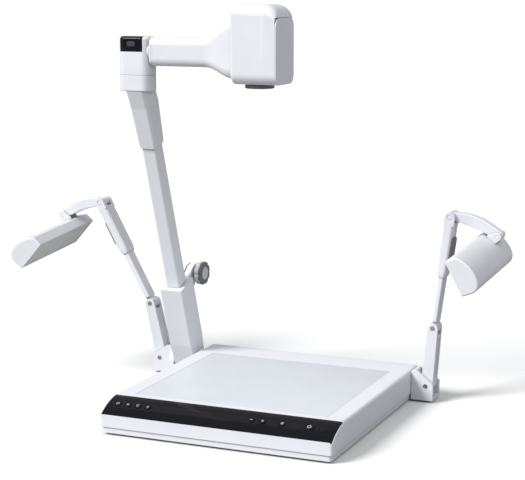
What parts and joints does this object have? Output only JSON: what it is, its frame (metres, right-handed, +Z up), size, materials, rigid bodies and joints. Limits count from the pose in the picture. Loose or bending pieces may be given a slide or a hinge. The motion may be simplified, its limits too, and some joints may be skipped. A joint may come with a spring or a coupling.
{
  "type": "document camera",
  "caption": "Desktop document camera: flat lit stage on a low base, leaning telescopic mast with a downward camera on a side arm, and folding side lamps.",
  "frame": {"origin": "centre of the base footprint, on the desk", "axes": "+X to the operator's right, -Y to the front edge with the controls, +Z up"},
  "size_m": [0.8794, 0.45, 0.685],
  "materials": {
    "white_plastic": "satin moulded white",
    "stage_white": "smooth translucent white",
    "grey_plastic": "satin light grey",
    "dark_plastic": "satin dark grey",
    "black_gloss": "polished black",
    "rubber": "matt",
    "steel": "brushed",
    "circuit_board": "solder-mask green",
    "glass": "coated clear",
    "diffuser": "frosted"
  },
  "bodies": {
    "base": {"base_cover": "white_plastic", "base_tray": "white_plastic", "control_fascia": "black_gloss", "stage_panel": "stage_white", "stage_light_box": "diffuser", "main_board": "circuit_board", "control_board": "circuit_board", "rear_connector_panel": "grey_plastic", "power_inlet": "dark_plastic", "foot_front_left": "rubber", "foot_front_right": "rubber", "foot_rear_left": "rubber", "foot_rear_right": "rubber", "mast_bracket": "white_plastic", "mast_hinge_pin": "steel", "lamp_bracket_left": "white_plastic", "lamp_bracket_right": "white_plastic", "lamp_foot_pin_left": "steel", "lamp_foot_pin_right": "steel"},
    "button_source": {"button_source": "black_gloss"},
    "button_freeze": {"button_freeze": "black_gloss"},
    "button_rotate": {"button_rotate": "black_gloss"},
    "button_lamp": {"button_lamp": "black_gloss"},
    "button_zoom_out": {"button_zoom_out": "black_gloss"},
    "button_zoom_in": {"button_zoom_in": "black_gloss"},
    "button_focus": {"button_focus": "black_gloss"},
    "button_power": {"button_power": "black_gloss"},
    "mast": {"mast_lower_sleeve": "white_plastic"},
    "clamp": {"clamp_screw": "steel", "clamp_knob": "dark_plastic"},
    "mast_slider": {"mast_tube": "white_plastic", "mast_neck_sleeve": "white_plastic", "elbow_collar": "white_plastic", "elbow_spindle": "steel"},
    "elbow": {"elbow_housing": "white_plastic", "sensor_window": "black_gloss"},
    "camera": {"camera_arm": "white_plastic", "camera_head_housing": "white_plastic", "camera_side_panel": "grey_plastic", "lens_hood": "dark_plastic", "lens_glass": "glass", "zoom_lens_block": "dark_plastic", "image_sensor_board": "circuit_board"},
    "lamp_lower_left": {"lamp_lower_arm_left": "white_plastic", "lamp_elbow_pin_left": "steel"},
    "lamp_rod_left": {"lamp_rod_left": "white_plastic"},
    "lamp_sleeve_left": {"lamp_sleeve_left": "white_plastic"},
    "lamp_neck_left": {"lamp_neck_left": "white_plastic"},
    "lamp_shade_left": {"lamp_shade_left": "white_plastic", "lamp_diffuser_left": "diffuser", "lamp_led_board_left": "circuit_board"},
    "lamp_lower_right": {"lamp_lower_arm_right": "white_plastic", "lamp_elbow_pin_right": "steel"},
    "lamp_rod_right": {"lamp_rod_right": "white_plastic"},
    "lamp_sleeve_right": {"lamp_sleeve_right": "white_plastic"},
    "lamp_neck_right": {"lamp_neck_right": "white_plastic"},
    "lamp_shade_right": {"lamp_shade_right": "white_plastic", "lamp_diffuser_right": "diffuser", "lamp_led_board_right": "circuit_board"}
  },
  "joints": [
    {"name": "mast_fold", "type": "hinge", "parent": "base", "child": "mast", "pos_m": [-0.23, 0.18, 0.029], "axis": [1, 0, 0], "range_deg": [-12, 50]},
    {"name": "mast_height", "type": "slide", "parent": "mast", "child": "mast_slider", "axis": [0, -0.3256, 0.9455], "range_m": [-0.08, 0.02]},
    {"name": "clamp_turn", "type": "hinge", "parent": "mast", "child": "clamp", "pos_m": [-0.23, 0.179, 0.1947], "axis": [1, 0, 0], "range_deg": [-30, 240]},
    {"name": "elbow_swivel", "type": "hinge", "parent": "mast_slider", "child": "elbow", "pos_m": [-0.2325, -0.005, 0.5655], "axis": [0, 0, 1], "range_deg": [-90, 90]},
    {"name": "camera_roll", "type": "hinge", "parent": "elbow", "child": "camera", "pos_m": [-0.204, -0.005, 0.605], "axis": [1, 0, 0], "range_deg": [-90, 90]},
    {"name": "press_source", "type": "slide", "parent": "base", "child": "button_source", "axis": [0, 0.3895, -0.921], "range_m": [0, 0.0012]},
    {"name": "press_freeze", "type": "slide", "parent": "base", "child": "button_freeze", "axis": [0, 0.3895, -0.921], "range_m": [0, 0.0012]},
    {"name": "press_rotate", "type": "slide", "parent": "base", "child": "button_rotate", "axis": [0, 0.3895, -0.921], "range_m": [0, 0.0012]},
    {"name": "press_lamp", "type": "slide", "parent": "base", "child": "button_lamp", "axis": [0, 0.3895, -0.921], "range_m": [0, 0.0012]},
    {"name": "press_zoom_out", "type": "slide", "parent": "base", "child": "button_zoom_out", "axis": [0, 0.3895, -0.921], "range_m": [0, 0.0012]},
    {"name": "press_zoom_in", "type": "slide", "parent": "base", "child": "button_zoom_in", "axis": [0, 0.3895, -0.921], "range_m": [0, 0.0012]},
    {"name": "press_focus", "type": "slide", "parent": "base", "child": "button_focus", "axis": [0, 0.3895, -0.921], "range_m": [0, 0.0012]},
    {"name": "press_power", "type": "slide", "parent": "base", "child": "button_power", "axis": [0, 0.3895, -0.921], "range_m": [0, 0.0012]},
    {"name": "lamp_foot_left", "type": "hinge", "parent": "base", "child": "lamp_lower_left", "pos_m": [-0.2883, 0.192, 0.029], "axis": [0, -1, 0], "range_deg": [-8, 22]},
    {"name": "lamp_elbow_left", "type": "hinge", "parent": "lamp_lower_left", "child": "lamp_rod_left", "pos_m": [-0.31124, 0.192, 0.12839], "axis": [0, -1, 0], "range_deg": [-20, 20]},
    {"name": "lamp_height_left", "type": "slide", "parent": "lamp_rod_left", "child": "lamp_sleeve_left", "axis": [-0.4848, 0, 0.8746], "range_m": [-0.03, 0.012]},
    {"name": "lamp_swing_left", "type": "hinge", "parent": "lamp_sleeve_left", "child": "lamp_neck_left", "pos_m": [-0.41306, 0.192, 0.31206], "axis": [0, 1, 0], "range_deg": [-15, 35]},
    {"name": "lamp_roll_left", "type": "hinge", "parent": "lamp_neck_left", "child": "lamp_shade_left", "pos_m": [-0.49551, 0.192, 0.28431], "axis": [0.025, -0.9969, -0.0744], "range_deg": [-35, 5]},
    {"name": "lamp_foot_right", "type": "hinge", "parent": "base", "child": "lamp_lower_right", "pos_m": [0.2263, 0.192, 0.029], "axis": [0, 1, 0], "range_deg": [-15, 25]},
    {"name": "lamp_elbow_right", "type": "hinge", "parent": "lamp_lower_right", "child": "lamp_rod_right", "pos_m": [0.23519, 0.192, 0.13061], "axis": [0, 1, 0], "range_deg": [-20, 30]},
    {"name": "lamp_height_right", "type": "slide", "parent": "lamp_rod_right", "child": "lamp_sleeve_right", "axis": [0.1357, 0, 0.9907], "range_m": [-0.03, 0.012]},
    {"name": "lamp_swing_right", "type": "hinge", "parent": "lamp_sleeve_right", "child": "lamp_neck_right", "pos_m": [0.26206, 0.192, 0.32678], "axis": [0, -1, 0], "range_deg": [-15, 35]},
    {"name": "lamp_roll_right", "type": "hinge", "parent": "lamp_neck_right", "child": "lamp_shade_right", "pos_m": [0.34452, 0.192, 0.29903], "axis": [0.025, 0.9969, 0.0744], "range_deg": [-35, 5]}
  ]
}
